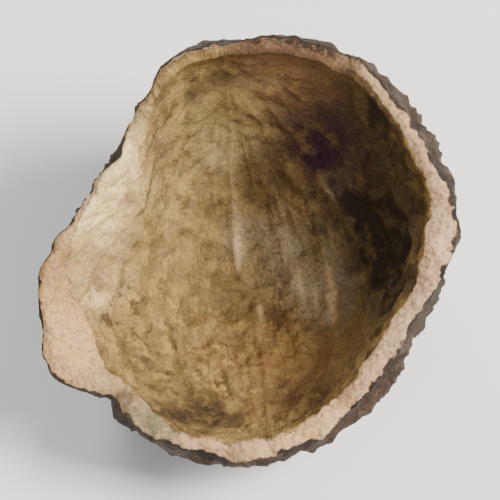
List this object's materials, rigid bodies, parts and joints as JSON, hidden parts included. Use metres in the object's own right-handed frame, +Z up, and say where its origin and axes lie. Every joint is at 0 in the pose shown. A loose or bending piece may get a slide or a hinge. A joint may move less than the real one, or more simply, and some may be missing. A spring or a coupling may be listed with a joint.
{
  "type": "black pepper husk",
  "caption": "Torn cup of dried black pepper skin, open at the top, wrinkled into a raised net on the outside and finely ribbed on the inside.",
  "frame": {"origin": "on the small flat spot that the husk rests on, straight below the middle of the berry that it came from", "axes": "+Z up out of the open mouth, -Y to the front, where the mouth tips lower, and +X to the right"},
  "size_m": [0.0058, 0.0058, 0.004],
  "materials": {
    "husk": "matt dried plant skin: dark brown with greyish wrinkle crests outside, olive tan inside, pale pinkish tan where it is torn"
  },
  "bodies": {
    "root": {"husk": "husk"}
  },
  "joints": []
}
